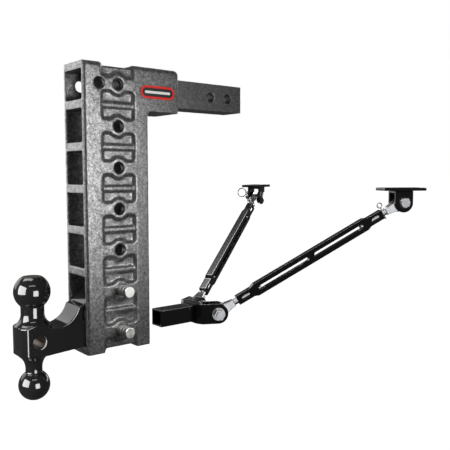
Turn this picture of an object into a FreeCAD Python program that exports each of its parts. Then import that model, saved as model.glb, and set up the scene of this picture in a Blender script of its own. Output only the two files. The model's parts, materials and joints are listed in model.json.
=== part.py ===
import FreeCAD, Part
import math
import os

import Sketcher

# Drop hitch with a dual-ball mount and a two-arm frame brace, in millimetres.
# X runs towards the towing vehicle, Z is up and the vehicle's left is +Y.
# The parts are drawn from the middle of the drop body's front edge at its foot, and the last
# section moves them all to the row's origin, the middle of the shank's end face.

SIZES = {
    # drop body
    "row_pitch": 69.85,
    "row_count": 7,
    "body_height": 488.95,
    "body_depth": 121.5,
    "body_width": 76.2,
    "wall": 9.525,
    "cap": 13.0,
    "rib": 14.9,
    "rear_wall": 10.0,
    "pin_column": 63.4,
    "pin_hole": 9.75,
    "front_hole": 28.5,
    "inner_boss": 21.5,
    "inner_boss_rise": 2.2,
    # pockets pressed into the side plates
    "pocket_length": 65.0,
    "pocket_height": 51.8,
    "pocket_depth": 5.5,
    "pocket_draft": 45.0,
    "pocket_corner": 7.0,
    "pocket_fillet": 8.0,
    "ring": 15.3,
    "bar_length": 70.0,
    "bar_base": 13.5,
    "bar_rise": 3.5,
    "bar_draft": 50.0,
    "notch_depth": 5.5,
    "notch_length": 53.0,
    # head and shank
    "head_end": 186.0,
    "head_height": 77.0,
    "head_corner": 8.0,
    "head_collar": 14.0,
    "head_plate": 9.0,
    "edge_round": 9.0,
    "edge_round_width": 7.0,
    "front_round": 5.0,
    "shank_side": 50.8,
    "shank_middle": 449.0,
    "shank_end": 345.4,
    "stop_front": 40.0,
    "shank_hole": 8.75,
    "shank_hole_one": 270.0,
    "shank_hole_two": 312.0,
    # badge
    "badge_start": 106.0,
    "badge_length": 70.0,
    "badge_middle": 446.0,
    "badge_height": 22.0,
    "badge_rim": 3.6,
    "badge_rise": 1.8,
    "badge_stripe": 2.2,
    # dual-ball mount
    "ball_axis": -79.1,
    "upper_ball": 29.37,
    "upper_ball_middle": 114.1,
    "upper_flat": 15.0,
    "upper_neck": 18.7,
    "lower_ball": 25.4,
    "lower_ball_middle": -40.0,
    "lower_neck": 13.5,
    "upper_flare": 20.0,
    "upper_flare_rise": 18.0,
    "lower_flare": 26.0,
    "lower_flare_rise": 21.0,
    "mount_width": 50.8,
    "mount_front": -106.0,
    "mount_front_width": 36.0,
    "mount_chamfer": 7.4,
    "mount_foot_slope": 37.0,
    "mount_top": 60.0,
    "mount_foot": 12.0,
    "saddle_middle": -48.4,
    "saddle_height": 93.3,
    "saddle": 40.0,
    "horn_tip": -9.8,
    "tang_end": 86.0,
    "tang_top": 124.0,
    "tang_gap": 2.0,
    "cross_hole": 10.5,
    "cross_hole_height": 34.4,
    # hitch pins
    "pin": 9.525,
    "pin_tip": 29.4,
    "pin_bevel": 1.0,
    "pin_groove": 8.0,
    "pin_groove_width": 3.0,
    "pin_disc": 5.5,
    "pin_tip_disc": 8.5,
    "pin_head": 16.0,
    "pin_head_rise": 14.0,
    "pin_head_gap": 1.0,
    # brace tube and hub
    "brace_start": 160.0,
    "brace_length": 77.0,
    "brace_side": 31.75,
    "brace_wall": 3.2,
    "socket_play": 0.6,
    "hub_height": 39.0,
    "hub_back": 22.0,
    "hub_gap": 20.0,
    "hub_depth": 11.8,
    "arm_heading": 28.7,
    "arm_rise": 29.0,
    "arm_length": 435.0,
    # clevises at both ends of an arm
    "ear": 4.8,
    "ear_gap": 23.0,
    "ear_reach": 32.5,
    "ear_round": 19.5,
    "clevis_hole": 6.6,
    "clevis_pin": 6.35,
    "jaw_width": 22.0,
    "jaw_eye": 12.0,
    "jaw_neck": 7.0,
    "jaw_taper": 32.0,
    "jaw_length": 38.0,
    "fork_gap": 11.0,
    "fork_depth": 20.0,
    "stud_reach": 100.0,
    # turnbuckle
    "buckle_end": 46.0,
    "buckle_narrow": 9.5,
    "buckle_wide": 13.0,
    "buckle_thickness": 16.0,
    "buckle_shoulder": 34.0,
    "buckle_flare": 8.0,
    "buckle_bridge": 13.0,
    "buckle_collar": 10.0,
    "buckle_slot": 4.0,
    "buckle_bore": 6.6,
    "buckle_bore_depth": 60.0,
    # hub bolts
    "washer": 12.5,
    "washer_thickness": 2.5,
    "hex": 9.5,
    "nut_height": 11.0,
    "bolt_head": 8.0,
    "bolt_end": 3.0,
    # frame bracket
    "plate_length": 91.0,
    "plate_width": 48.0,
    "plate_thickness": 6.0,
    "ear_drop": 24.5,
    "slot_width": 9.5,
    "slot_length": 18.0,
    "slot_offset": 28.0,
    "frame_pin_head": 11.5,
    "frame_pin_crown": 9.2,
    "frame_pin_head_rise": 6.0,
    "frame_pin_end": 28.0,
    "clip_place": 24.0,
    "clip_wire": 1.3,
    "clip_hole": 1.6,
    "clip_ring": 11.0,
    "clip_leg": 14.0,
    "stud_clip_place": 43.0,
    "stud_clip_ring": 5.0,
}

document = FreeCAD.newDocument("drop_hitch")
sheet = document.addObject("Spreadsheet::Sheet", "sizes")
for row, (name, value) in enumerate(SIZES.items(), start=1):
    sheet.set(f"A{row}", name)
    sheet.set(f"B{row}", str(value))
    sheet.setAlias(f"B{row}", name)
document.recompute()


class Size:
    """A number together with the sheet expression that gives it."""

    def __init__(self, number, text):
        self.number = float(number)
        self.text = text

    def __add__(self, other):
        other = as_size(other)
        return Size(self.number + other.number, f"({self.text} + {other.text})")

    def __sub__(self, other):
        other = as_size(other)
        return Size(self.number - other.number, f"({self.text} - {other.text})")

    def __mul__(self, other):
        other = as_size(other)
        return Size(self.number * other.number, f"({self.text} * {other.text})")

    def __truediv__(self, other):
        other = as_size(other)
        return Size(self.number / other.number, f"({self.text} / {other.text})")

    def __neg__(self):
        return Size(-self.number, f"(-1 * {self.text})")

    def __radd__(self, other):
        return as_size(other) + self

    def __rsub__(self, other):
        return as_size(other) - self

    def __rmul__(self, other):
        return as_size(other) * self


def as_size(value):
    if isinstance(value, Size):
        return value
    return Size(value, repr(float(value)))


def cell(name):
    return Size(SIZES[name], f"sizes.{name}")


def leg(long_side, other_side):
    """Third side of a right-angled triangle, from its longest side and another."""
    long_side, other_side = as_size(long_side), as_size(other_side)
    number = math.sqrt(long_side.number**2 - other_side.number**2)
    return Size(number, f"sqrt({long_side.text}^2 - ({other_side.text})^2)")


def bind(thing, prop, value):
    """Give a property its value, through an expression where the sheet drives it."""
    value = as_size(value)
    setattr(thing, prop, value.number)
    if "sizes." in value.text:
        thing.setExpression(prop, value.text)


# ---------------------------------------------------------------- sketches and features

subparts = []


def new_body(label, placement=None):
    body = document.addObject("PartDesign::Body", label)
    body.Label = label
    if placement is not None:
        body.Placement = placement
    subparts.append(body)
    return body


def origin_feature(body, role):
    for feature in body.Origin.OriginFeatures:
        if feature.Role == role:
            return feature
    raise ValueError(role)


def new_sketch(body, name, plane, offset=0):
    """A sketch on one of the body's own planes, moved along that plane's normal."""
    sketch = body.newObject("Sketcher::SketchObject", f"{body.Name}_{name}")
    sketch.AttachmentSupport = [(origin_feature(body, plane), "")]
    sketch.MapMode = "FlatFace"
    offset = as_size(offset)
    sketch.AttachmentOffset = FreeCAD.Placement(
        FreeCAD.Vector(0, 0, offset.number), FreeCAD.Rotation()
    )
    if "sizes." in offset.text:
        sketch.setExpression("AttachmentOffset.Base.z", offset.text)
    return sketch


def constrain(sketch, kind, value, *places):
    value = as_size(value)
    index = sketch.addConstraint(Sketcher.Constraint(kind, *places, value.number))
    if "sizes." in value.text:
        sketch.setExpression(f"Constraints[{index}]", value.text)


def fix_point(sketch, curve, end, x, y):
    constrain(sketch, "DistanceX", x, -1, 1, curve, end)
    constrain(sketch, "DistanceY", y, -1, 1, curve, end)


def arc_between(start, end, radius):
    """Arc from start to end; a positive radius turns left on the way, a negative one right."""
    chord = end - start
    half = chord.Length / 2
    height = math.sqrt(max(radius * radius - half * half, 0.0))
    left = FreeCAD.Vector(-chord.y, chord.x, 0).normalize()
    middle = (start + end) / 2 + left * math.copysign(height, radius)
    first, last = (start, end) if radius > 0 else (end, start)
    angles = [math.atan2(point.y - middle.y, point.x - middle.x) for point in (first, last)]
    return Part.ArcOfCircle(Part.Circle(middle, FreeCAD.Vector(0, 0, 1), abs(radius)), *angles)


def outline(sketch, steps):
    """Closed outline. A step is a corner (x, y), or (x, y, radius) to reach it along an arc."""
    corners = [(as_size(step[0]), as_size(step[1])) for step in steps]
    points = [FreeCAD.Vector(x.number, y.number, 0) for x, y in corners]
    curves = []
    for index, step in enumerate(steps):
        start, end = points[index - 1], points[index]
        if len(step) == 2:
            curve = sketch.addGeometry(Part.LineSegment(start, end), False)
            curves.append((curve, 1, 2))
            continue
        radius = as_size(step[2])
        curve = sketch.addGeometry(arc_between(start, end, radius.number), False)
        curves.append((curve, 1, 2) if radius.number > 0 else (curve, 2, 1))
    for index, (curve, first, last) in enumerate(curves):
        before = curves[index - 1]
        sketch.addConstraint(Sketcher.Constraint("Coincident", before[0], before[2], curve, first))
    for (curve, first, last), (x, y), step in zip(curves, corners, steps):
        fix_point(sketch, curve, last, x, y)
        if len(step) == 2:
            continue
        radius = as_size(step[2])
        if radius.number < 0:
            radius = -radius
        arc = sketch.Geometry[curve]
        chord = arc.StartPoint - arc.EndPoint
        if abs(chord.Length / 2 - radius.number) > 1e-6:
            constrain(sketch, "Radius", radius, curve)
        elif abs(chord.x) < abs(chord.y):
            constrain(sketch, "DistanceX", x, -1, 1, curve, 3)
        else:
            constrain(sketch, "DistanceY", y, -1, 1, curve, 3)


def rectangle(sketch, left, right, low, high):
    outline(sketch, [(left, low), (right, low), (right, high), (left, high)])


def circle(sketch, x, y, radius):
    x, y, radius = as_size(x), as_size(y), as_size(radius)
    middle = FreeCAD.Vector(x.number, y.number, 0)
    curve = sketch.addGeometry(
        Part.Circle(middle, FreeCAD.Vector(0, 0, 1), radius.number), False
    )
    fix_point(sketch, curve, 3, x, y)
    constrain(sketch, "Radius", radius, curve)


def pad(body, sketch, length, midplane=False, reverse=False, draft=0):
    feature = body.newObject("PartDesign::Pad", f"{sketch.Name}_pad")
    feature.Profile = sketch
    feature.Midplane = midplane
    feature.Reversed = reverse
    bind(feature, "Length", length)
    bind(feature, "TaperAngle", draft)
    return settle(body, feature, grows=True)


def pocket(body, sketch, length, midplane=False, reverse=False, draft=0):
    feature = body.newObject("PartDesign::Pocket", f"{sketch.Name}_pocket")
    feature.Profile = sketch
    feature.Midplane = midplane
    feature.Reversed = reverse
    bind(feature, "Length", length)
    bind(feature, "TaperAngle", draft)
    return settle(body, feature, grows=False)


def revolve(body, sketch, axis):
    feature = body.newObject("PartDesign::Revolution", f"{sketch.Name}_turned")
    feature.Profile = sketch
    feature.ReferenceAxis = (origin_feature(body, axis), [""])
    feature.Angle = 360.0
    return settle(body, feature, grows=True)


def repeat(body, feature, axis, length, count, reverse=False):
    before = body.Shape.Volume
    pattern = body.newObject("PartDesign::LinearPattern", f"{feature.Name}_row")
    pattern.Originals = [feature]
    pattern.Direction = (origin_feature(body, axis), [""])
    pattern.Reversed = reverse
    bind(pattern, "Length", length)
    pattern.Occurrences = count
    body.Tip = pattern
    document.recompute()
    if abs(body.Shape.Volume - before) < 1.0:
        raise RuntimeError(f"{pattern.Name} changes nothing")
    return pattern


def settle(body, feature, grows):
    """Recompute, and stop if a feature missed the solid or went the wrong way."""
    before = 0.0
    if len([item for item in body.Group if item.isDerivedFrom("PartDesign::Feature")]) > 1:
        before = body.Shape.Volume
    body.Tip = feature
    document.recompute()
    change = body.Shape.Volume - before
    if (change > 1e-6) != grows or abs(change) < 1e-6:
        raise RuntimeError(f"{feature.Name} changes the volume by {change:.3f}")
    return feature


# ---------------------------------------------------------------- primitives for plain pieces


def place(thing, x=0, y=0, z=0, rotation=None):
    if rotation is not None:
        thing.Placement = FreeCAD.Placement(FreeCAD.Vector(), rotation)
    for axis, value in (("x", x), ("y", y), ("z", z)):
        value = as_size(value)
        setattr(thing.Placement.Base, axis, value.number)
        thing.setExpression(f"Placement.Base.{axis}", value.text)


def block(name, low, high):
    """Box between two corners."""
    thing = document.addObject("Part::Box", name)
    sizes = [as_size(end) - start for start, end in zip(low, high)]
    for prop, size in zip(("Length", "Width", "Height"), sizes):
        bind(thing, prop, size)
    place(thing, *low)
    return thing


def rod(name, radius, length, base, rotation=None):
    """Cylinder that starts at base and runs along Z, or along the turned Z."""
    thing = document.addObject("Part::Cylinder", name)
    bind(thing, "Radius", radius)
    bind(thing, "Height", length)
    place(thing, *base, rotation=rotation)
    return thing


def cut(name, whole, tool):
    thing = document.addObject("Part::Cut", name)
    thing.Base = whole
    thing.Tool = tool
    return thing


def joined(name, pieces):
    thing = document.addObject("Part::MultiFuse", name)
    thing.Shapes = pieces
    return thing


def group(name, pieces):
    thing = document.addObject("Part::Compound", name)
    thing.Links = pieces
    return thing


def subpart(thing, label, placement=None):
    thing.Label = label
    if placement is not None:
        thing.Placement = placement
    subparts.append(thing)
    return thing


ALONG_Y = FreeCAD.Rotation(FreeCAD.Vector(1, 0, 0), -90)
ALONG_X = FreeCAD.Rotation(FreeCAD.Vector(0, 1, 0), 90)

half_width = cell("body_width") / 2
inner_half = half_width - cell("wall")
height = cell("body_height")
pitch = cell("row_pitch")
column = cell("pin_column")
head_foot = height - cell("head_height")


def row_height(row):
    return height - pitch * (row + 0.5)


# ---------------------------------------------------------------- drop body


def pocket_outline():
    """Round-cornered pocket with a waist that leaves a ring of metal about each pin hole."""
    half = cell("pocket_length") / 2
    high = cell("pocket_height") / 2
    corner = cell("pocket_corner")
    fillet = cell("pocket_fillet")
    ring = cell("ring")
    centre_gap = pitch / 2 - high + fillet
    fillet_x = leg(ring + fillet, centre_gap)
    touch_x = fillet_x * ring / (ring + fillet)
    touch_y = pitch / 2 - centre_gap * ring / (ring + fillet)
    upper = [
        (half, high - corner),
        (half - corner, high, corner),
        (fillet_x, high),
        (touch_x, touch_y, fillet),
        (-touch_x, touch_y, -ring),
        (-fillet_x, high, fillet),
        (corner - half, high),
        (-half, high - corner, corner),
    ]
    lower = [(-x, -y, *radius) for x, y, *radius in upper]
    return [(x + column, *rest) for x, *rest in upper + lower]


def side_plate(label, outward):
    """Inverted-L side plate with its pressed pockets; outward is -1 for the vehicle's right."""
    left = outward > 0
    rows = SIZES["row_count"]
    body = new_body(label)
    body.setExpression("Placement.Base.y", f"{outward} * {inner_half.text}")

    shape = new_sketch(body, "outline", "XZ_Plane")
    outline(shape, [
        (0, 0),
        (cell("body_depth"), 0),
        (cell("body_depth"), head_foot - cell("head_corner")),
        (cell("body_depth") + cell("head_corner"), head_foot, -cell("head_corner")),
        (cell("head_end"), head_foot),
        (cell("head_end"), height - cell("head_corner")),
        (cell("head_end") - cell("head_corner"), height, cell("head_corner")),
        (0, height),
    ])
    pad(body, shape, cell("wall"), reverse=left)

    # One pocket between each two pin rows, and half a pocket at the top and the bottom edge.
    face = cell("wall") * -outward
    recess = new_sketch(body, "recess", "XZ_Plane", face)
    outline(recess, pocket_outline())
    first = pocket(body, recess, cell("pocket_depth"), reverse=left, draft=-cell("pocket_draft"))
    repeat(body, first, "Z_Axis", height, rows + 1)
    floor = (cell("wall") - cell("pocket_depth")) * -outward

    # A raised bar crosses the middle of each whole pocket.
    bar = new_sketch(body, "bar", "XZ_Plane", floor)
    rectangle(
        bar, column - cell("bar_length") / 2, column + cell("bar_length") / 2,
        pitch - cell("bar_base") / 2, pitch + cell("bar_base") / 2,
    )
    ridge = pad(body, bar, cell("bar_rise"), reverse=left, draft=-cell("bar_draft"))
    repeat(body, ridge, "Z_Axis", pitch * (rows - 2), rows - 1)

    # Low bosses on the inside guide the tangs of the ball mount.
    boss = new_sketch(body, "boss", "XZ_Plane")
    circle(boss, column, pitch / 2, cell("inner_boss"))
    guide = pad(body, boss, cell("inner_boss_rise"), reverse=not left)
    repeat(body, guide, "Z_Axis", pitch * (rows - 2), rows - 1)

    hole = new_sketch(body, "pin_hole", "XZ_Plane")
    circle(hole, column, pitch / 2, cell("pin_hole"))
    drilled = pocket(body, hole, cell("wall") * 4, midplane=True)
    repeat(body, drilled, "Z_Axis", pitch * (rows - 1), rows)
    front = new_sketch(body, "front_hole", "XZ_Plane")
    circle(front, cell("front_hole"), row_height(0), cell("pin_hole"))
    pocket(body, front, cell("wall") * 4, midplane=True)

    # The top and bottom edges are notched where the half pockets run out.
    notch = new_sketch(body, "notches", "XZ_Plane")
    for edge, inward in ((as_size(0), 1), (height, -1)):
        deep = edge + cell("notch_depth") * inward
        past = edge - cell("notch_depth") * inward
        half = cell("notch_length") / 2
        slope = cell("notch_depth")
        outline(notch, [
            (column - half - slope * 2, past),
            (column + half + slope * 2, past),
            (column + half, deep),
            (column - half, deep),
        ])
    pocket(body, notch, cell("wall") * 4, midplane=True)

    # The outer top edge is well rounded.
    side = cell("wall") * outward
    flat = side - cell("edge_round_width") * outward
    rounding = new_sketch(body, "top_edge", "YZ_Plane")
    outline(rounding, [
        (side, height - cell("edge_round")),
        (flat, height, cell("edge_round") * outward),
        (flat, height + cell("edge_round")),
        (side + cell("wall") * outward, height + cell("edge_round")),
        (side + cell("wall") * outward, height - cell("edge_round")),
    ])
    pocket(body, rounding, cell("head_end") * 2, midplane=True)

    # So is the outer front edge.
    front_edge = new_sketch(body, "front_edge", "XY_Plane")
    outline(front_edge, [
        (cell("front_round"), side),
        (0, side - cell("front_round") * outward, cell("front_round") * outward),
        (-cell("front_round"), side - cell("front_round") * outward),
        (-cell("front_round"), side + cell("wall") * outward),
        (cell("front_round"), side + cell("wall") * outward),
    ])
    pocket(body, front_edge, height * 3, midplane=True)
    return body


side_plate("right_side_plate", -1)
side_plate("left_side_plate", 1)

rib_back = cell("body_depth") - cell("rear_wall")
stop_front = cell("stop_front")
stop_back = stop_front + cell("rear_wall")
ribs = []
for index in range(SIZES["row_count"] - 1):
    middle = pitch * (index + 1)
    top_rib = index == SIZES["row_count"] - 2
    ribs.append(block(
        f"rib_{index + 1}",
        (0, -inner_half, middle - cell("rib") / 2),
        (stop_front if top_rib else rib_back, inner_half, middle + cell("rib") / 2),
    ))
subpart(group("ribs", ribs), "cross_ribs")


def cap_plate(label, edge, inward, end):
    """Plate between the side plates along their top or bottom edge, notched like them."""
    body = new_body(label)
    low = edge + cell("cap") * inward
    deep = edge + cell("notch_depth") * inward
    half = cell("notch_length") / 2
    slope = cell("notch_depth")
    shape = new_sketch(body, "outline", "XZ_Plane")
    outline(shape, [
        (0, low),
        (end, low),
        (end, edge),
        (column + half + slope, edge),
        (column + half, deep),
        (column - half, deep),
        (column - half - slope, edge),
        (0, edge),
    ])
    pad(body, shape, inner_half * 2, midplane=True)
    return body


cap_plate("top_plate", height, -1, cell("head_end") - cell("head_collar"))
cap_plate("bottom_plate", as_size(0), 1, cell("body_depth") - cell("rear_wall"))

lowest_row = row_height(SIZES["row_count"] - 1)
socket_half = cell("brace_side") / 2 + cell("socket_play")
back_plate = block(
    "back_plate", (cell("body_depth") - cell("rear_wall"), -inner_half, 0),
    (cell("body_depth"), inner_half, head_foot + cell("head_plate")),
)
socket = block(
    "socket", (cell("body_depth") - cell("rear_wall") * 2, -socket_half, lowest_row - socket_half),
    (cell("body_depth") + cell("rear_wall"), socket_half, lowest_row + socket_half),
)
subpart(cut("back_plate_cut", back_plate, socket), "rear_wall")
subpart(block(
    "floor", (cell("body_depth"), -inner_half, head_foot),
    (cell("head_end") - cell("head_collar"), inner_half, head_foot + cell("head_plate")),
), "head_floor")

shank_half = cell("shank_side") / 2
subpart(block(
    "stop", (stop_front, -inner_half, head_foot + cell("head_plate")),
    (stop_back, inner_half, height - cell("cap")),
), "shank_stop")
collar_whole = block(
    "collar_whole", (cell("head_end") - cell("head_collar"), -inner_half, head_foot),
    (cell("head_end"), inner_half, height),
)
collar_hole = block(
    "collar_hole",
    (cell("head_end") - cell("head_collar") * 2, -shank_half, cell("shank_middle") - shank_half),
    (cell("head_end") + cell("head_collar"), shank_half, cell("shank_middle") + shank_half),
)
subpart(cut("collar_cut", collar_whole, collar_hole), "shank_collar")

shank = new_body("hitch_shank")
section = new_sketch(shank, "section", "YZ_Plane", stop_back)
rectangle(
    section, -shank_half, shank_half,
    cell("shank_middle") - shank_half, cell("shank_middle") + shank_half,
)
pad(shank, section, cell("shank_end") - stop_back)
# The top row's pin passes through the shank as well.
top_pin_hole = new_sketch(shank, "top_pin_hole", "XZ_Plane")
circle(top_pin_hole, column, row_height(0), cell("pin_hole"))
pocket(shank, top_pin_hole, cell("shank_side") * 2, midplane=True)
for place_name in ("shank_hole_one", "shank_hole_two"):
    through = new_sketch(shank, place_name, "XZ_Plane")
    circle(through, cell(place_name), cell("shank_middle"), cell("shank_hole"))
    pocket(shank, through, cell("shank_side") * 2, midplane=True)

# ---------------------------------------------------------------- badge


def round_ended(sketch, left, right, middle, radius):
    """Slot shape: left and right are the middles of its two round ends."""
    low = middle - radius
    high = middle + radius
    outline(sketch, [(left, low, radius), (right, low), (right, high, radius), (left, high)])


def badge_piece(label, margin, low, high):
    """Plate with round ends on the right side of the head, low to high above that side."""
    body = new_body(label)
    inset = cell("badge_height") / 2
    shape = new_sketch(body, "outline", "XZ_Plane", half_width + low)
    round_ended(
        shape, cell("badge_start") + inset, cell("badge_start") + cell("badge_length") - inset,
        cell("badge_middle"), inset - margin,
    )
    pad(body, shape, as_size(high) - low)
    return body


rim = badge_piece("badge_rim", 0, 0, cell("badge_rise"))
end_inset = cell("badge_height") / 2
badge_left = cell("badge_start") + end_inset
badge_right = cell("badge_start") + cell("badge_length") - end_inset
window = new_sketch(rim, "window", "XZ_Plane", half_width + cell("badge_rise") / 2)
round_ended(window, badge_left, badge_right, cell("badge_middle"), end_inset - cell("badge_rim"))
pocket(rim, window, cell("badge_rise") * 2, reverse=True)

# A dark field fills the rim, and a plain bar stands on it.
face_body = new_body("badge_field")
field = new_sketch(face_body, "field", "XZ_Plane", half_width + cell("badge_rise") / 2)
round_ended(field, badge_left, badge_right, cell("badge_middle"), end_inset - cell("badge_rim"))
pad(face_body, field, cell("badge_rise") / 4)

bar_body = new_body("badge_bar")
stripe = new_sketch(bar_body, "stripe", "XZ_Plane", half_width + cell("badge_rise") * 3 / 4)
round_ended(stripe, badge_left, badge_right, cell("badge_middle"), cell("badge_stripe"))
pad(bar_body, stripe, cell("badge_rise") / 4)

# ---------------------------------------------------------------- dual-ball mount

mount = new_body("dual_ball_mount")
axis_x = cell("ball_axis")
mount.setExpression("Placement.Base.x", axis_x.text)
mount_half = cell("mount_width") / 2
rib_low = pitch - cell("rib") / 2 - cell("tang_gap")
rib_high = pitch + cell("rib") / 2 + cell("tang_gap")
tang_front = -cell("tang_gap")
saddle_drop = cell("saddle_height") - cell("mount_top")
saddle_left = cell("saddle_middle") - leg(cell("saddle"), saddle_drop)
tip_reach = cell("horn_tip") - cell("saddle_middle")
tip_height = cell("saddle_height") - leg(cell("saddle"), tip_reach)

side_view = new_sketch(mount, "side_view", "XZ_Plane")
outline(side_view, [
    (x - axis_x, *rest) for x, *rest in (
        (cell("mount_front"), cell("mount_foot")),
        (cell("mount_front") + cell("mount_foot_slope"), cell("mount_foot") - cell("tang_gap")),
        (0, cell("mount_foot") + cell("tang_gap")),
        (cell("tang_end"), cell("mount_foot") + cell("tang_gap")),
        (cell("tang_end"), rib_low),
        (tang_front, rib_low),
        (tang_front, rib_high),
        (cell("tang_end"), rib_high),
        (cell("tang_end"), cell("tang_top")),
        (cell("tang_end") / 2, cell("tang_top")),
        (0, tip_height + cell("tang_gap") * 2),
        (cell("horn_tip"), tip_height),
        (saddle_left, cell("mount_top"), -cell("saddle")),
        (cell("mount_front"), cell("mount_top")),
    )
])
pad(mount, side_view, cell("mount_width"), midplane=True)

ball_top = cell("upper_ball_middle") + leg(cell("upper_ball"), cell("upper_flat"))
neck_top = cell("upper_ball_middle") - leg(cell("upper_ball"), cell("upper_neck"))
flare_top = cell("mount_top") + cell("upper_flare_rise")
flare_in = leg(cell("upper_flare"), cell("upper_flare_rise"))
flare_foot = cell("upper_neck") + cell("upper_flare") - flare_in
upper = new_sketch(mount, "upper_ball", "XZ_Plane")
outline(upper, [
    (0, cell("mount_foot") * 2),
    (flare_foot, cell("mount_foot") * 2),
    (flare_foot, cell("mount_top")),
    (cell("upper_neck"), flare_top, -cell("upper_flare")),
    (cell("upper_neck"), neck_top),
    (cell("upper_flat"), ball_top, cell("upper_ball")),
    (0, ball_top),
])
revolve(mount, upper, "Z_Axis")

lower = new_sketch(mount, "lower_ball", "XZ_Plane")
lower_top = cell("lower_ball_middle") + leg(cell("lower_ball"), cell("lower_neck"))
lower_flare_foot = cell("mount_foot") - cell("tang_gap")
lower_flare_in = leg(cell("lower_flare"), cell("lower_flare_rise"))
lower_foot = cell("lower_neck") + cell("lower_flare") - lower_flare_in
outline(lower, [
    (0, cell("lower_ball_middle") - cell("lower_ball")),
    (cell("lower_neck"), lower_top, cell("lower_ball")),
    (cell("lower_neck"), lower_flare_foot - cell("lower_flare_rise")),
    (lower_foot, lower_flare_foot, -cell("lower_flare")),
    (lower_foot, cell("mount_foot") * 2),
    (0, cell("mount_foot") * 2),
])
revolve(mount, lower, "Z_Axis")

# The neck's flare is trimmed to the sides of the forging, and the front corners are chamfered.
trim = new_sketch(mount, "trim", "XY_Plane", flare_top)
front = cell("mount_front") - axis_x
for side in (-1, 1):
    outline(trim, [
        (-flare_foot * 2, mount_half * side),
        (flare_foot * 2, mount_half * side),
        (flare_foot * 2, mount_half * 2 * side),
        (-flare_foot * 2, mount_half * 2 * side),
    ])
pocket(mount, trim, flare_top - cell("mount_foot") * 2)
corners = new_sketch(mount, "corners", "XY_Plane", flare_top)
for side in (-1, 1):
    outline(corners, [
        (front - cell("mount_chamfer"), cell("mount_front_width") / 2 * side),
        (front, cell("mount_front_width") / 2 * side),
        (front + cell("mount_chamfer"), mount_half * side),
        (front - cell("mount_chamfer"), mount_half * side),
    ])
pocket(mount, corners, flare_top)

for row, name in ((5, "upper"), (6, "lower")):
    drilling = new_sketch(mount, f"{name}_pin_hole", "XZ_Plane")
    circle(drilling, column - axis_x, row_height(row), cell("pin_hole"))
    pocket(mount, drilling, cell("mount_width") * 2, midplane=True)
cross = new_sketch(mount, "cross_hole", "XZ_Plane")
circle(cross, 0, cell("cross_hole_height"), cell("cross_hole"))
pocket(mount, cross, cell("mount_width") * 2, midplane=True)

# ---------------------------------------------------------------- hitch pins


def turned(label, profile, placement=None):
    """Round piece about its own Y axis; the profile's steps are (radius, place along Y)."""
    body = new_body(label, placement)
    shape = new_sketch(body, "profile", "XY_Plane")
    outline(shape, profile)
    revolve(body, shape, "Y_Axis")
    return body


pin_start = -half_width - cell("pin_tip")
pin_stop = half_width + cell("pin_head_gap") + cell("pin_head_rise") / 2
disc_one = pin_start + cell("pin_tip_disc")
groove_one = disc_one + cell("pin_groove_width")
disc_two = groove_one + cell("pin_disc")
groove_two = disc_two + cell("pin_groove_width")
for row, name in ((5, "upper"), (6, "lower")):
    shaft = turned(f"{name}_pin", [
        (0, pin_start),
        (cell("pin") - cell("pin_bevel"), pin_start),
        (cell("pin"), pin_start + cell("pin_bevel")),
        (cell("pin"), disc_one),
        (cell("pin_groove"), disc_one),
        (cell("pin_groove"), groove_one),
        (cell("pin"), groove_one),
        (cell("pin"), disc_two),
        (cell("pin_groove"), disc_two),
        (cell("pin_groove"), groove_two),
        (cell("pin"), groove_two),
        (cell("pin"), pin_stop),
        (0, pin_stop),
    ])
    knob_start = half_width + cell("pin_head_gap")
    knob_stop = knob_start + cell("pin_head_rise")
    dome = cell("pin_head_rise") * 2 / 3
    dome_radius = (cell("pin_head") * cell("pin_head") + dome * dome) / (dome * 2)
    knob = turned(f"{name}_pin_knob", [
        (cell("pin"), knob_start),
        (cell("pin_head"), knob_start),
        (cell("pin_head"), knob_stop - dome),
        (0, knob_stop, dome_radius),
        (0, pin_stop),
        (cell("pin"), pin_stop),
    ])
    for piece in (shaft, knob):
        place(piece, column, 0, row_height(row))

# ---------------------------------------------------------------- brace tube and hub

tube_half = cell("brace_side") / 2
tube_end = cell("brace_start") + cell("brace_length")
tube = new_body("brace_tube")
ring_section = new_sketch(tube, "section", "YZ_Plane", cell("brace_start"))
for inset in (as_size(0), cell("brace_wall")):
    rectangle(
        ring_section, inset - tube_half, tube_half - inset,
        lowest_row - tube_half + inset, lowest_row + tube_half - inset,
    )
pad(tube, ring_section, cell("brace_length"))

# The hub is a wedge-shaped block; each clevis stands square on one of its front faces.
heading = math.radians(SIZES["arm_heading"])
clevis_half = cell("ear_gap") / 2 + cell("ear")
web_x = tube_end + cell("hub_depth")
near_x = web_x + clevis_half * math.sin(heading)
far_x = web_x - clevis_half * math.sin(heading)
near_y = cell("hub_gap") - clevis_half * math.cos(heading)
far_y = cell("hub_gap") + clevis_half * math.cos(heading)
hub = new_body("hub_block")
plan = new_sketch(hub, "plan", "XY_Plane", lowest_row)
outline(plan, [
    (tube_end, -cell("hub_back")),
    (far_x, -far_y),
    (near_x, -near_y),
    (near_x, near_y),
    (far_x, far_y),
    (tube_end, cell("hub_back")),
])
pad(hub, plan, cell("hub_height"), midplane=True)

bolt_x = web_x.number + SIZES["ear_reach"] * math.cos(heading)
bolt_y = SIZES["hub_gap"] + SIZES["ear_reach"] * math.sin(heading)


def hub_frame(side):
    """Frame of one hub clevis: origin on its bolt, X out along the arm's heading."""
    spin = FreeCAD.Rotation(FreeCAD.Vector(0, 0, 1), side * SIZES["arm_heading"])
    return FreeCAD.Placement(FreeCAD.Vector(bolt_x, side * bolt_y, lowest_row.number), spin)


def arm_frame(side):
    """The same origin, with X along the raised arm."""
    rise = FreeCAD.Rotation(FreeCAD.Vector(0, 1, 0), -SIZES["arm_rise"])
    return hub_frame(side) * FreeCAD.Placement(FreeCAD.Vector(), rise)


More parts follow.
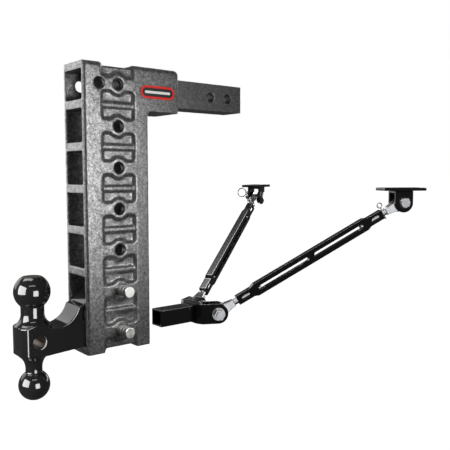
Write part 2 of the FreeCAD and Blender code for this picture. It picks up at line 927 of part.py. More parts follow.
def far_frame(side):
    """Frame of one frame bracket: origin on its pin, level, X along the arm's heading."""
    reach = arm_frame(side).multVec(FreeCAD.Vector(SIZES["arm_length"], 0, 0))
    return FreeCAD.Placement(reach, hub_frame(side).Rotation)


def clevis(label, frame, upright):
    """Bent strap with two round-ended ears; its web is behind the pin, or above it."""
    body = new_body(label, frame)
    reach = cell("ear_drop") if upright else cell("ear_reach")
    radius = cell("ear_round")
    shape = new_sketch(body, "outline", "XZ_Plane")
    if upright:
        outline(shape, [(-radius, reach), (-radius, 0), (radius, 0, radius), (radius, reach)])
    else:
        outline(shape, [(-reach, -radius), (0, -radius), (0, radius, radius), (-reach, radius)])
    pad(body, shape, clevis_half * 2, midplane=True)
    gap = new_sketch(body, "gap", "XZ_Plane")
    inner = reach - cell("ear")
    if upright:
        rectangle(gap, -radius * 2, radius * 2, -radius * 2, inner)
    else:
        rectangle(gap, -inner, radius * 2, -radius * 2, radius * 2)
    pocket(body, gap, cell("ear_gap"), midplane=True)
    hole = new_sketch(body, "hole", "XZ_Plane")
    circle(hole, 0, 0, cell("clevis_hole"))
    pocket(body, hole, clevis_half * 4, midplane=True)
    return body


def jaw(label, frame, clip_hole):
    """Forked jaw with a round stud: origin on its pin, stud along X."""
    body = new_body(label, frame)
    eye = cell("jaw_eye")
    neck = cell("jaw_neck")
    side = new_sketch(body, "side", "XZ_Plane")
    outline(side, [
        (0, -eye, eye),
        (cell("jaw_taper"), -neck),
        (cell("jaw_length"), -neck),
        (cell("jaw_length"), neck),
        (cell("jaw_taper"), neck),
        (0, eye),
    ])
    pad(body, side, cell("jaw_width"), midplane=True)
    # The sides taper with the stud end, so that the fork is a forging and not a block.
    cheek = new_sketch(body, "cheeks", "XY_Plane")
    half = cell("jaw_width") / 2
    past_end = cell("jaw_length") + cell("pin_bevel")
    for edge in (-1, 1):
        outline(cheek, [
            (cell("jaw_taper") / 2, half * edge),
            (cell("jaw_length"), neck * edge),
            (past_end, neck * edge),
            (past_end, half * 2 * edge),
            (cell("jaw_taper") / 2, half * 2 * edge),
        ])
    pocket(body, cheek, eye * 3, midplane=True)
    fork = new_sketch(body, "fork", "XY_Plane")
    rectangle(
        fork, -eye * 1.5, cell("fork_depth"), -cell("fork_gap") / 2, cell("fork_gap") / 2,
    )
    pocket(body, fork, eye * 3, midplane=True)
    hole = new_sketch(body, "hole", "XZ_Plane")
    circle(hole, 0, 0, cell("clevis_hole"))
    pocket(body, hole, cell("jaw_width") * 2, midplane=True)
    stud = new_sketch(body, "stud", "YZ_Plane", cell("jaw_length"))
    circle(stud, 0, 0, cell("clevis_pin"))
    pad(body, stud, cell("stud_reach") - cell("jaw_length"))
    if clip_hole:
        drilled = new_sketch(body, "clip_hole", "XY_Plane")
        circle(drilled, cell("stud_clip_place"), 0, cell("clip_hole"))
        pocket(body, drilled, eye * 3, midplane=True)
    return body


def turnbuckle(label, frame):
    """Open-bodied turnbuckle, symmetric about its middle, with its near end at buckle_end."""
    body = new_body(label, frame)
    near = cell("buckle_end")
    far = cell("arm_length") - near
    shoulder = cell("buckle_shoulder")
    flare = shoulder + cell("buckle_flare")
    narrow = cell("buckle_narrow")
    wide = cell("buckle_wide")
    side = new_sketch(body, "side", "XZ_Plane")
    outline(side, [
        (near, -narrow),
        (near + shoulder, -narrow),
        (near + flare, -wide),
        (far - flare, -wide),
        (far - shoulder, -narrow),
        (far, -narrow),
        (far, narrow),
        (far - shoulder, narrow),
        (far - flare, wide),
        (near + flare, wide),
        (near + shoulder, narrow),
        (near, narrow),
    ])
    pad(body, side, cell("buckle_thickness"), midplane=True)
    middle = (near + far) / 2
    bridge = cell("buckle_bridge") / 2
    collar = cell("buckle_collar")
    slots = new_sketch(body, "slots", "XZ_Plane")
    slot = cell("buckle_slot")
    for left, right in (
        (near + collar, near + shoulder - bridge),
        (near + flare + bridge, middle - bridge),
        (middle + bridge, far - flare - bridge),
        (far - shoulder + bridge, far - collar),
    ):
        round_ended(slots, left + slot, right - slot, as_size(0), slot)
    pocket(body, slots, cell("buckle_thickness") * 2, midplane=True)
    for name, start, reverse in (("near", near, True), ("far", far, False)):
        bore = new_sketch(body, f"{name}_bore", "YZ_Plane", start)
        circle(bore, 0, 0, cell("buckle_bore"))
        pocket(body, bore, cell("buckle_bore_depth"), reverse=reverse)
    return body


def bracket_plate(label, frame):
    """Slotted plate that bolts under the vehicle's frame; its outer slot runs out at the end."""
    body = new_body(label, frame)
    low = cell("ear_drop")
    half_length = cell("plate_length") / 2
    half = cell("plate_width") / 2
    corner = cell("slot_width") / 2
    face = new_sketch(body, "face", "XY_Plane", low)
    outline(face, [
        (corner - half_length, -half, corner),
        (half_length - corner, -half),
        (half_length, corner - half, corner),
        (half_length, half - corner),
        (half_length - corner, half, corner),
        (corner - half_length, half),
        (-half_length, half - corner, corner),
        (-half_length, corner - half),
    ])
    pad(body, face, cell("plate_thickness"))
    slots = new_sketch(body, "slots", "XY_Plane", low)
    reach = cell("slot_length") / 2 - corner
    for middle in (-cell("slot_offset"), as_size(0)):
        round_ended(slots, middle - reach, middle + reach, as_size(0), corner)
    open_end = cell("slot_offset") - reach
    outline(slots, [
        (open_end, -corner, corner),
        (half_length + corner, -corner),
        (half_length + corner, corner),
        (open_end, corner),
    ])
    pocket(body, slots, cell("plate_thickness") * 3, midplane=True)
    return body


def frame_pin(label, frame):
    """Headed clevis pin with a cross hole for its clip."""
    head = clevis_half + cell("clip_wire") / 2
    pin = cell("clevis_pin")
    body = turned(label, [
        (0, -head - cell("frame_pin_head_rise")),
        (cell("frame_pin_crown"), -head - cell("frame_pin_head_rise")),
        (cell("frame_pin_head"), -head - cell("frame_pin_head_rise") / 2),
        (cell("frame_pin_head"), -head),
        (pin, -head),
        (pin, cell("frame_pin_end") - cell("pin_bevel")),
        (pin - cell("pin_bevel"), cell("frame_pin_end")),
        (0, cell("frame_pin_end")),
    ], frame)
    cross_hole = new_sketch(body, "clip_hole", "XY_Plane")
    circle(cross_hole, 0, cell("clip_place"), cell("clip_hole"))
    pocket(body, cross_hole, pin * 4, midplane=True)
    return body


def torus(name, radius, base, rotation):
    thing = document.addObject("Part::Torus", name)
    bind(thing, "Radius1", radius)
    bind(thing, "Radius2", cell("clip_wire"))
    place(thing, *base, rotation=rotation)
    return thing


def pin_clip(label, frame):
    """Lynch pin: a leg through the pin, a coil at its top, and a ring that hangs outwards."""
    leg = cell("clip_leg")
    ring = cell("clip_ring")
    place_y = cell("clip_place")
    coil = cell("clip_wire") * 1.8
    coil_height = cell("clevis_pin") + coil + cell("clip_wire")
    pieces = [
        rod(f"{label}_leg", cell("clip_wire"), leg * 2, (0, place_y, -leg)),
        rod(f"{label}_coil", coil, cell("clip_ring") / 2,
            (0, place_y - coil, coil_height), ALONG_Y),
        torus(f"{label}_ring", ring, (0, place_y + ring * 1.4, coil_height), ALONG_X),
    ]
    return subpart(joined(f"{label}_whole", pieces), label, frame)


def stud_clip(label, frame):
    """Cotter with an eye, dropped through the stud beside the end of the turnbuckle."""
    leg = cell("clip_leg")
    place_x = cell("arm_length") - cell("stud_clip_place")
    eye = cell("stud_clip_ring")
    pieces = [
        rod(f"{label}_leg", cell("clip_wire"), leg * 2, (place_x, 0, -leg)),
        torus(f"{label}_eye", eye, (place_x, 0, leg + eye - cell("clip_wire")), ALONG_Y),
    ]
    return subpart(joined(f"{label}_whole", pieces), label, frame)


HALF_TURN = FreeCAD.Rotation(FreeCAD.Vector(0, 0, 1), 180)
SIDES = (("right", -1), ("left", 1))

for side_name, side in SIDES:
    level, raised, outer = hub_frame(side), arm_frame(side), far_frame(side)
    reach = FreeCAD.Placement(FreeCAD.Vector(SIZES["arm_length"], 0, 0), HALF_TURN)
    clevis(f"{side_name}_hub_clevis", level, upright=False)
    jaw(f"{side_name}_inner_jaw", raised, clip_hole=False)
    turnbuckle(f"{side_name}_turnbuckle", raised)
    jaw(f"{side_name}_outer_jaw", raised * reach, clip_hole=True)
    stud_clip(f"{side_name}_stud_clip", raised)
    clevis(f"{side_name}_bracket_clevis", outer, upright=True)
    bracket_plate(f"{side_name}_bracket_plate", outer)
    frame_pin(f"{side_name}_frame_pin", outer)
    pin_clip(f"{side_name}_pin_clip", outer)

# ---------------------------------------------------------------- hub bolts, nuts and washers


def hexagon(name, start, rise):
    """Hexagonal prism along the bolt's axis; hex is half its width across flats."""
    prism = document.addObject("Part::Prism", name)
    prism.Polygon = 6
    bind(prism, "Circumradius", cell("hex") / math.cos(math.radians(30)))
    bind(prism, "Height", rise)
    place(prism, 0, start, 0, rotation=ALONG_Y)
    return prism


washer_face = clevis_half + cell("washer_thickness")
bolts, nuts, washers = [], [], []
for side_name, side in SIDES:
    level = hub_frame(side)
    nut_start = -washer_face - cell("nut_height")
    shaft_start = nut_start - cell("bolt_end")
    shaft = rod(f"{side_name}_bolt_shaft", cell("clevis_pin"), washer_face - shaft_start,
                (0, shaft_start, 0), ALONG_Y)
    head = hexagon(f"{side_name}_bolt_head", washer_face, cell("bolt_head"))
    whole_nut = hexagon(f"{side_name}_whole_nut", nut_start, cell("nut_height"))
    thread = rod(f"{side_name}_nut_thread", cell("clevis_pin"), cell("nut_height") * 2,
                 (0, nut_start - cell("bolt_end"), 0), ALONG_Y)
    pieces = [(bolts, joined(f"{side_name}_bolt", [shaft, head]))]
    pieces.append((nuts, cut(f"{side_name}_nut", whole_nut, thread)))
    for end, start in (("head", clevis_half), ("nut", -washer_face)):
        disc = rod(f"{side_name}_{end}_disc", cell("washer"), cell("washer_thickness"),
                   (0, start, 0), ALONG_Y)
        middle = rod(f"{side_name}_{end}_eye", cell("clevis_hole"), cell("washer_thickness") * 3,
                     (0, start - cell("washer_thickness"), 0), ALONG_Y)
        pieces.append((washers, cut(f"{side_name}_{end}_washer", disc, middle)))
    for gathered, piece in pieces:
        piece.Placement = level
        gathered.append(piece)
subpart(group("bolts", bolts), "hub_bolts")
subpart(group("nuts", nuts), "hub_nuts")
subpart(group("washers", washers), "hub_washers")


# ---------------------------------------------------------------- the row's origin


def draw_back(piece, axis, distance):
    """Move a finished sub-part back along one axis, on top of any expression it has there."""
    path = f"Placement.Base.{axis}"
    held = {key.strip("."): text for key, text in piece.ExpressionEngine}
    start = held.get(path, repr(getattr(piece.Placement.Base, axis)))
    piece.setExpression(path, f"({start}) - {distance.text}")


for piece in subparts:
    draw_back(piece, "x", cell("shank_end"))
    draw_back(piece, "z", cell("shank_middle"))

# ---------------------------------------------------------------- checks and files

document.recompute()
for thing in document.Objects:
    if "Invalid" in thing.State or "Error" in thing.State:
        raise RuntimeError(f"{thing.Name} is {thing.State}")
for piece in subparts:
    if piece.Shape.isNull() or not piece.Shape.isValid():
        raise RuntimeError(f"{piece.Label} has no valid shape")

os.makedirs("parts", exist_ok=True)
for piece in subparts:
    piece.Shape.exportStep(os.path.join("parts", f"{piece.Label}.step"))
    print(f"{piece.Label}: {len(piece.Shape.Solids)} solid(s), {piece.Shape.Volume:.0f} mm3")
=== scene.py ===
import json
import math

import bmesh
import bpy
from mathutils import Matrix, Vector


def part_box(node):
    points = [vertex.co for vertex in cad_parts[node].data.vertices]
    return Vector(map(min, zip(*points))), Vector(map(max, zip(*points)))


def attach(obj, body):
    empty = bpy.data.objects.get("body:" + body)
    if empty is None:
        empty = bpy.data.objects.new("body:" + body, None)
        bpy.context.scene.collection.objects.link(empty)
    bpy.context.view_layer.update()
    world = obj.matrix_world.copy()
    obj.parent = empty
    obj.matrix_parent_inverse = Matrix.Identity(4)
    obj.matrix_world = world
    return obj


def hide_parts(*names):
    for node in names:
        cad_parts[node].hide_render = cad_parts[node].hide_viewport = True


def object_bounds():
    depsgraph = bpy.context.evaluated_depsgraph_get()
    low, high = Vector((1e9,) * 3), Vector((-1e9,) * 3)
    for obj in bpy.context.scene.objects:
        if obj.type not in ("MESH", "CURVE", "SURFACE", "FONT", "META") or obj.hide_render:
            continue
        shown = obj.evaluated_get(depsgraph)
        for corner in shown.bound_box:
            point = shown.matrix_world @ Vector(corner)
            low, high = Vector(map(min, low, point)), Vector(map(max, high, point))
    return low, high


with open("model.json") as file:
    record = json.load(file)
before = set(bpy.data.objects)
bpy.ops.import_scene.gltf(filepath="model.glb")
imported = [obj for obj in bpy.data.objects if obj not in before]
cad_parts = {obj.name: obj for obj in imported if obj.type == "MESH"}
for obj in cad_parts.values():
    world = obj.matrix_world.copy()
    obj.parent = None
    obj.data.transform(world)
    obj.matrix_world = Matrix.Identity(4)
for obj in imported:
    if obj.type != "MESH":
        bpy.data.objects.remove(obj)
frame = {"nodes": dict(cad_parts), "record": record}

cad_low, cad_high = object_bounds()
record = frame["record"]
MM = 0.001
plate_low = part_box("right_side_plate")[0]
mount_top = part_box("dual_ball_mount")[1].z
BODY_FOOT = Vector((plate_low.x, 0.0, plate_low.z))

# sockets of a colour mix node
MIX_FIRST, MIX_SECOND, MIX_RESULT = 6, 7, 2


# ---------------------------------------------------------------- shader building


class Shader:
    """One node material, built up through short calls."""

    def __init__(self, name):
        self.material = bpy.data.materials.new(name)
        self.material.use_nodes = True
        self.tree = self.material.node_tree
        self.tree.nodes.clear()
        self.place = self.add("ShaderNodeTexCoord").outputs["Object"]

    def add(self, kind, inputs=None, **settings):
        node = self.tree.nodes.new(kind)
        for key, value in settings.items():
            setattr(node, key, value)
        for key, value in (inputs or {}).items():
            self.feed(node, key, value)
        return node

    def feed(self, node, key, value):
        socket = node.inputs[key]
        if isinstance(value, bpy.types.NodeSocket):
            self.tree.links.new(value, socket)
        elif value is not None:
            socket.default_value = value

    def noise(self, scale, detail=2.0, roughness=0.5):
        node = self.add("ShaderNodeTexNoise", {
            "Vector": self.place, "Scale": scale, "Detail": detail, "Roughness": roughness,
        })
        return node.outputs["Fac"]

    def cells(self, scale):
        node = self.add("ShaderNodeTexVoronoi", {"Vector": self.place, "Scale": scale})
        return node.outputs["Distance"]

    def ramp(self, factor, *stops):
        """Linear colour ramp; each stop is (position, grey value or colour)."""
        node = self.add("ShaderNodeValToRGB", {"Fac": factor})
        elements = node.color_ramp.elements
        while len(elements) < len(stops):
            elements.new(0.5)
        for element, (position, colour) in zip(elements, stops):
            element.position = position
            element.color = rgba(colour)
        return node.outputs["Color"]

    def math(self, operation, first, second=0.0, third=0.0):
        node = self.add("ShaderNodeMath", {0: first, 1: second, 2: third}, operation=operation)
        return node.outputs[0]

    def mix(self, factor, first, second):
        node = self.add("ShaderNodeMix", data_type="RGBA")
        self.feed(node, "Factor", factor)
        for socket, value in ((MIX_FIRST, first), (MIX_SECOND, second)):
            linked = isinstance(value, bpy.types.NodeSocket)
            self.feed(node, socket, value if linked else rgba(value))
        return node.outputs[MIX_RESULT]

    def soft_normal(self, radius):
        """Shading normal of an edge rounded to this radius."""
        return self.add("ShaderNodeBevel", {"Radius": radius}, samples=6).outputs[0]

    def bump(self, height, strength, distance, normal=None):
        node = self.add("ShaderNodeBump", {
            "Height": height, "Strength": strength, "Distance": distance,
        })
        if normal is not None:
            self.feed(node, "Normal", normal)
        return node.outputs[0]

    def edge_mask(self, radius):
        """Bright on sharp edges, dark on flat faces."""
        flat = self.add("ShaderNodeNewGeometry").outputs["True Normal"]
        product = self.add(
            "ShaderNodeVectorMath", {0: flat, 1: self.soft_normal(radius)}, operation="DOT_PRODUCT"
        )
        return self.ramp(product.outputs["Value"], (0.80, 1.0), (0.985, 0.0))

    def finish(self, **inputs):
        surface = self.add("ShaderNodeBsdfPrincipled")
        for key, value in inputs.items():
            name = key.replace("_", " ").title().replace("Ior", "IOR")
            value = rgba(value) if isinstance(value, tuple) else value
            self.feed(surface, name, value)
        output = self.add("ShaderNodeOutputMaterial")
        self.tree.links.new(surface.outputs[0], output.inputs[0])
        return self.material


def rgba(colour):
    """Four channels from a grey value or a colour."""
    if isinstance(colour, (int, float)):
        return (colour, colour, colour, 1.0)
    return tuple(colour)[:3] + (1.0,)


# ---------------------------------------------------------------- materials


def vein_coat(name, dark, light, grain, rough_low, rough_high):
    """Silver-vein powder coat: light metallic grains over a dark ground, with a pebbled skin."""
    s = Shader(name)
    speck = s.noise(0.7 / grain, 2.0, 0.7)
    spread = s.noise(0.25 / grain, 2.0, 0.5)
    broad = s.noise(9.0, 2.0)
    mixed = s.math("MULTIPLY_ADD", spread, 0.35, s.math("MULTIPLY", speck, 0.65))
    tone = s.ramp(mixed, (0.36, dark), (0.50, (dark + light) * 0.42), (0.64, light))
    tone = s.mix(s.math("MULTIPLY", broad, 0.25), tone, dark)
    rough = s.ramp(mixed, (0.40, rough_high), (0.60, rough_low))
    normal = s.bump(mixed, 0.5, grain * 0.9)
    return s.finish(base_color=tone, metallic=0.80, roughness=rough, normal=normal)


BARE_RIM = 0.4
FLAT_DEPTH = 0.7 * MM
FLAT_TONES = (0.50, 0.45, 0.40), (0.32, 0.28, 0.25)
HOLE_TONES = (0.28, 0.24, 0.20), (0.17, 0.14, 0.12)


def bare_zones(s):
    """Masks of the forging's uncoated metal: the wall of its cross hole and the upper ball's flat."""
    x, _, z = s.add("ShaderNodeSeparateXYZ", {0: s.place}).outputs
    hole = next(row for row in record["mounts"] if row["name"] == "mount_cross_hole")
    across = s.math("SUBTRACT", x, hole["pos_m"][0])
    above = s.math("SUBTRACT", z, hole["pos_m"][2])
    reach = s.math("SQRT", s.math("MULTIPLY_ADD", across, across, s.math("MULTIPLY", above, above)))
    in_hole = s.math("LESS_THAN", reach, (hole["dims"]["r_mm"] + BARE_RIM) * MM)
    on_flat = s.math("GREATER_THAN", z, mount_top - FLAT_DEPTH)
    return in_hole, on_flat


def black_coat(name, roughness, radius, wear, bare=False):
    """Gloss black powder coat with a faint orange peel, thin on its edges."""
    s = Shader(name)
    peel = s.noise(240.0, 1.0)
    broad = s.noise(22.0, 2.0)
    normal = s.bump(peel, 0.03, 0.2 * MM, s.soft_normal(radius))
    edge = s.edge_mask(radius * 0.8)
    scuff = s.math("MULTIPLY", edge, s.ramp(s.noise(120.0, 4.0, 0.7), (0.42, 0.0), (0.62, wear)))
    tone = s.mix(scuff, s.mix(broad, 0.006, 0.012), 0.22)
    rough = s.math("MULTIPLY_ADD", broad, 0.06, roughness)
    zone = 0.0
    if bare:
        in_hole, on_flat = bare_zones(s)
        stain = s.noise(300.0, 3.0)
        tone = s.mix(on_flat, tone, s.mix(stain, *FLAT_TONES))
        tone = s.mix(in_hole, tone, s.mix(stain, *HOLE_TONES))
        zone = s.math("MAXIMUM", in_hole, on_flat)
        rough = s.math("MULTIPLY_ADD", zone, 0.28, rough)
    return s.finish(
        base_color=tone, roughness=rough, normal=normal, metallic=zone,
        coat_weight=s.math("SUBTRACT", 1.0, zone), coat_roughness=roughness * 0.5,
    )


def turned_steel(name):
    """Bare lathe-turned steel: highlights stretched by a tangent that runs round the pin's axis."""
    s = Shader(name)
    tangent = s.add("ShaderNodeTangent", direction_type="RADIAL", axis="Y").outputs[0]
    streaks = s.noise(900.0, 2.0)
    blotch = s.noise(60.0, 3.0)
    tone = s.mix(blotch, (0.80, 0.79, 0.77), (0.66, 0.65, 0.63))
    rough = s.math("MULTIPLY_ADD", streaks, 0.08, 0.26)
    normal = s.bump(streaks, 0.04, 0.05 * MM, s.soft_normal(0.5 * MM))
    return s.finish(
        base_color=tone, metallic=1.0, roughness=rough, anisotropic=0.40,
        tangent=tangent, normal=normal,
    )


def bright_metal(name, tone_a, tone_b, roughness):
    """Zinc plate or drawn wire: bright, a little cloudy."""
    s = Shader(name)
    cloud = s.noise(90.0, 3.0)
    spangle = s.cells(420.0)
    tone = s.mix(cloud, tone_a, tone_b)
    rough = s.math("MULTIPLY_ADD", cloud, 0.15, roughness)
    normal = s.bump(s.math("ADD", cloud, spangle), 0.12, 0.08 * MM, s.soft_normal(0.5 * MM))
    return s.finish(base_color=tone, metallic=1.0, roughness=rough, normal=normal)


def enamel(name, colour, roughness):
    """Filled badge enamel with a slight unevenness."""
    s = Shader(name)
    cloud = s.noise(260.0, 2.0)
    tone = s.mix(cloud, colour, tuple(c * 0.80 for c in colour))
    normal = s.bump(cloud, 0.08, 0.1 * MM, s.soft_normal(0.3 * MM))
    return s.finish(base_color=tone, roughness=roughness, normal=normal, coat_weight=0.2)


MATERIALS = {
    "cast_body": vein_coat(
        "cast_body_coat", dark=0.06, light=0.46, grain=1.1 * MM, rough_low=0.28, rough_high=0.40),
    "shank_body": vein_coat(
        "shank_coat", dark=0.08, light=0.34, grain=1.0 * MM, rough_low=0.36, rough_high=0.50),
    "gloss_black": black_coat(
        "gloss_black_coat", roughness=0.07, radius=1.6 * MM, wear=0.25, bare=True),
    "brace_black": black_coat("brace_black_coat", roughness=0.18, radius=0.8 * MM, wear=0.5),
    "bare_steel": turned_steel("turned_steel"),
    "zinc": bright_metal("zinc_plate", (0.80, 0.81, 0.83), (0.62, 0.63, 0.66), 0.22),
    "spring_wire": bright_metal("drawn_wire", (0.78, 0.78, 0.78), (0.60, 0.60, 0.60), 0.18),
    "badge_red": enamel("badge_red_enamel", (0.78, 0.022, 0.014), 0.30),
    "badge_dark": enamel("badge_dark_enamel", (0.02, 0.02, 0.02), 0.35),
    "badge_white": enamel("badge_white_enamel", (0.82, 0.82, 0.80), 0.35),
}


def dress(obj, slot):
    """Give the object the finish of its material slot."""
    obj.data.materials.clear()
    obj.data.materials.append(MATERIALS[slot])


slots = {row["node"]: row["material_slot"] for row in record["subparts"]}
body_of = {
    node: body for body, nodes in record["behaviour"]["bodies"].items() for node in nodes
}
shown = dict(frame["nodes"])
for node, obj in frame["nodes"].items():
    dress(obj, slots[node])


# ---------------------------------------------------------------- pieces that stand for nodes


def stand_in(name, mesh, *nodes):
    """Show this mesh in place of CAD nodes of one body, with the finish of the first."""
    piece = bpy.data.objects.new(name, mesh)
    bpy.context.scene.collection.objects.link(piece)
    dress(piece, slots[nodes[0]])
    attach(piece, body_of[nodes[0]])
    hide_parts(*nodes)
    for node in nodes:
        shown[node] = piece


def settled(mesh, *modifiers):
    """The mesh after these modifiers, each (type, settings)."""
    work = bpy.data.objects.new("work", mesh)
    bpy.context.scene.collection.objects.link(work)
    for kind, settings in modifiers:
        modifier = work.modifiers.new(kind.lower(), kind)
        for key, value in settings.items():
            setattr(modifier, key, value)
    graph = bpy.context.evaluated_depsgraph_get()
    result = bpy.data.meshes.new_from_object(work.evaluated_get(graph))
    bpy.data.objects.remove(work)
    return result


def together(*nodes):
    """One mesh with the faces of all these nodes."""
    build = bmesh.new()
    for node in nodes:
        build.from_mesh(frame["nodes"][node].data)
    mesh = bpy.data.meshes.new("together")
    build.to_mesh(mesh)
    build.free()
    return mesh


FEWEST_FACES = 200


def drop_crumbs(mesh):
    """Take out the small islands that a remesh can leave in closed gaps."""
    build = bmesh.new()
    build.from_mesh(mesh)
    seen = set()
    crumbs = []
    for start in build.faces:
        if start in seen:
            continue
        island, edge = [start], [start]
        seen.add(start)
        while edge:
            face = edge.pop()
            for side in face.edges:
                for other in side.link_faces:
                    if other not in seen:
                        seen.add(other)
                        island.append(other)
                        edge.append(other)
        if len(island) < FEWEST_FACES:
            crumbs.extend(island)
    bmesh.ops.delete(build, geom=crumbs, context="FACES")
    build.to_mesh(mesh)
    build.free()


WAVE_SPREAD = 14 * MM


def cast(name, nodes, voxel, passes, waviness=0.0):
    """Nodes as one solid with its edges rounded over and, with waviness, its faces uneven."""
    hollows = bpy.data.textures.new(f"{name}_hollows", "CLOUDS")
    hollows.noise_scale = WAVE_SPREAD
    mesh = settled(
        together(*nodes),
        ("REMESH", {"mode": "VOXEL", "voxel_size": voxel}),
        ("SMOOTH", {"factor": 0.5, "iterations": passes}),
        ("DISPLACE", {"texture": hollows, "strength": waviness, "mid_level": 0.5}),
    )
    drop_crumbs(mesh)
    mesh.shade_smooth()
    stand_in(name, mesh, *nodes)


body_parts = [node for node, slot in slots.items() if slot == "cast_body" and node != "shank_stop"]
cast("drop_body", body_parts, voxel=1.5 * MM, passes=3, waviness=0.5 * MM)
cast("shank_stop_plate", ["shank_stop"], voxel=1.5 * MM, passes=3, waviness=0.4 * MM)
cast("shank_tube", ["hitch_shank"], voxel=1.2 * MM, passes=3, waviness=0.4 * MM)
cast("ball_mount_forging", ["dual_ball_mount"], voxel=0.9 * MM, passes=10)
for node, slot in slots.items():
    if slot == "brace_black":
        cast(f"{node}_coated", [node], voxel=0.9 * MM, passes=4)
    elif node.endswith("_jaw"):
        cast(f"{node}_forging", [node], voxel=0.6 * MM, passes=4)


# ---------------------------------------------------------------- stage, light and camera


WORLD_FILL = 0.22
WORLD_REFLECTED = 0.05
FLOOR_REACH = 30.0
# deep enough to clear the arms at their lowest
FLOOR_DROP = 0.13


def aim(obj, place, target):
    """Put a lamp or camera at this place, facing the target."""
    obj.location = place
    obj.rotation_mode = "QUATERNION"
    obj.rotation_quaternion = (target - place).to_track_quat("-Z", "Y")


def softbox(name, direction, size, radiance, target, receivers, distance=1.5):
    """Rectangular lamp that stands off in this direction and lights only the receivers."""
    width, height = size
    lamp = bpy.data.lights.new(name, "AREA")
    lamp.shape = "RECTANGLE"
    lamp.size, lamp.size_y = width, height
    lamp.energy = radiance * math.pi * width * height
    obj = bpy.data.objects.new(name, lamp)
    bpy.context.scene.collection.objects.link(obj)
    aim(obj, target + Vector(direction).normalized() * distance, target)
    # one object can stand for several nodes, so it can be listed more than once
    lit = bpy.data.collections.new(name + "_receivers")
    for receiver in dict.fromkeys(receivers):
        lit.objects.link(receiver)
    obj.light_linking.receiver_collection = lit


def studio_world(tree, fill, reflected):
    """White to the camera, with its own grey in reflections and another for soft light."""
    path = tree.nodes.new("ShaderNodeLightPath")
    colour = rgba(fill)
    for ray, grey in (("Is Glossy Ray", reflected), ("Is Camera Ray", 1.0)):
        mix = tree.nodes.new("ShaderNodeMix")
        mix.data_type = "RGBA"
        if isinstance(colour, tuple):
            mix.inputs[MIX_FIRST].default_value = colour
        else:
            tree.links.new(colour, mix.inputs[MIX_FIRST])
        mix.inputs[MIX_SECOND].default_value = rgba(grey)
        tree.links.new(path.outputs[ray], mix.inputs["Factor"])
        colour = mix.outputs[MIX_RESULT]
    tree.links.new(colour, tree.nodes["Background"].inputs["Color"])


def build_stage():
    """A plain pale floor and a white surround."""
    floor_mesh = bpy.data.meshes.new("floor")
    depth = cad_low.z - FLOOR_DROP
    corners = ((-1, -1), (1, -1), (1, 1), (-1, 1))
    floor_mesh.from_pydata(
        [(x * FLOOR_REACH, y * FLOOR_REACH, depth) for x, y in corners], [], [(0, 1, 2, 3)],
    )
    floor = bpy.data.objects.new("floor", floor_mesh)
    bpy.context.scene.collection.objects.link(floor)
    s = Shader("pale_floor")
    grain = s.noise(3.0, 2.0)
    floor_mesh.materials.append(s.finish(
        base_color=s.mix(grain, 0.90, 0.87), roughness=0.9, specular_ior_level=0.1,
        emission_color=rgba(1.0), emission_strength=0.85,
    ))
    floor.visible_glossy = False
    floor.visible_diffuse = False

    world = bpy.data.worlds.new("studio")
    bpy.context.scene.world = world
    world.use_nodes = True
    studio_world(world.node_tree, WORLD_FILL, WORLD_REFLECTED)
    bpy.context.scene.view_settings.view_transform = "Standard"


def light_mount():
    """Two windows mirrored in the balls, softer glints from above and a glow in the saddle."""
    mount = [shown["dual_ball_mount"]]
    ball = BODY_FOOT + Vector((-0.079, 0.0, 0.114))
    softbox("window_front", (-0.978, -0.032, 0.208), (1.5, 1.22), 9.0, ball, mount)
    softbox("window_side", (0.028, -0.993, -0.09), (0.8, 0.9), 9.0, ball, mount)
    softbox("gloss_top", (-0.2, 0.25, 1.0), (0.5, 1.2), 3.5, ball, mount)
    softbox("gloss_line", (-0.25, -0.75, 0.80), (1.0, 0.12), 4.5, ball, mount)
    softbox("saddle_glow", (-0.30, 0.87, 0.30), (1.2, 0.8), 0.9, ball, mount)


def light_body():
    """A near strip that fades across the side plate, dim fills, and a glow between the plates."""
    plate_middle = BODY_FOOT + Vector((0.06, -0.038, 0.265))
    far_plate = BODY_FOOT + Vector((0.063, 0.030, 0.265))
    softbox("body_side", (0.155, -0.564, 0.05), (0.16, 0.50), 9.8, plate_middle, coated, 0.6)
    softbox("body_fill", (-0.25, -0.90, 0.35), (1.4, 1.4), 0.30, body_middle, coated)
    softbox("body_front", (-0.96, 0.25, 0.20), (1.4, 1.4), 1.6, body_middle, coated)
    softbox("body_top", (0.1, 0.1, 1.0), (1.5, 1.5), 0.25, body_middle, coated)
    softbox("cavity_glow", (0.0, -1.0, 0.0), (0.03, 0.40), 0.7, far_plate, coated, 0.03)


def light_kit():
    """Edge light for the black brace parts."""
    softbox("kit_side", (0.45, -0.85, 0.35), (0.5, 0.5), 6.0, kit_middle, kit)
    softbox("kit_top", (0.1, 0.4, 1.0), (1.2, 0.5), 6.0, kit_middle, kit)


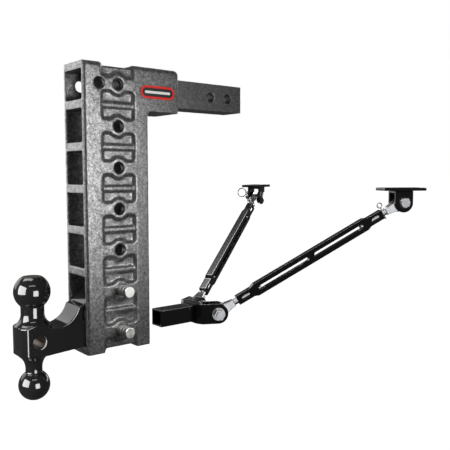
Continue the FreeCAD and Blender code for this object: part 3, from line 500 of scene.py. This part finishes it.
def light_bare_metal():
    """Broad pale surfaces for the pins and the plated parts to mirror."""
    softbox("pin_sky", (-0.3, -0.3, 1.0), (3.0, 3.0), 1.6, body_middle, pins)
    softbox("pin_side", (0.6, -1.0, 0.1), (1.6, 1.2), 2.2, body_middle, pins)
    softbox("pin_key", (-0.8, -0.6, 0.8), (0.4, 0.6), 9.0, body_middle, pins)
    softbox("plated_sky", (-0.3, -0.3, 1.0), (2.4, 2.4), 1.1, kit_middle, plated)
    softbox("plated_side", (-0.20, -0.98, -0.06), (1.1, 0.9), 1.0, kit_middle, plated)
    softbox("plated_back", (1.0, 0.05, 0.0), (1.0, 0.9), 1.1, kit_middle, plated)


def light_from_behind():
    """Light for the sides that the camera does not see; the mount gets it from the rear only."""
    side, side_size = (-0.15, 1.0, 0.15), (2.2, 1.6)
    metal = coated + plated + pins
    every = metal + [shown["dual_ball_mount"]]
    softbox("far_side", side, side_size, 2.4, body_middle, metal, 2.0)
    softbox("far_side_kit", side, side_size, 1.2, kit_middle, kit, 2.0)
    softbox("rear", (1.0, 0.25, 0.25), (1.6, 1.6), 2.0, body_middle, every, 2.0)


def place_camera():
    """Seen from the front right, looking slightly down."""
    heading, pitch = math.radians(39.5), math.radians(4.76)
    forward = Vector((
        math.sin(heading) * math.cos(pitch), math.cos(heading) * math.cos(pitch), -math.sin(pitch),
    ))
    spot = BODY_FOOT + Vector((-0.468, -0.964, 0.305))
    data = bpy.data.cameras.new("camera")
    data.lens = 49.5
    camera = bpy.data.objects.new("camera", data)
    bpy.context.scene.collection.objects.link(camera)
    bpy.context.scene.camera = camera
    aim(camera, spot, spot + forward)


def shown_with(*finishes):
    """The shown pieces, one for each node, whose material slot is one of these."""
    return [obj for node, obj in shown.items() if slots[node] in finishes]


build_stage()
body_middle = BODY_FOOT + Vector((0.06, 0.0, 0.30))
kit_middle = BODY_FOOT + Vector((0.40, 0.0, 0.12))
badge = [shown[node] for node in slots if slots[node].startswith("badge")]
coated = shown_with("cast_body", "shank_body") + badge
# the stop is left dark, or it would show bright through the front pin hole
coated.remove(shown["shank_stop"])
pins = shown_with("bare_steel")
plated = shown_with("zinc", "spring_wire")
kit = [obj for node, obj in shown.items()
       if body_of[node] not in ("hitch", "upper_pin", "lower_pin") and obj not in plated]
light_mount()
light_body()
light_kit()
light_bare_metal()
light_from_behind()
place_camera()
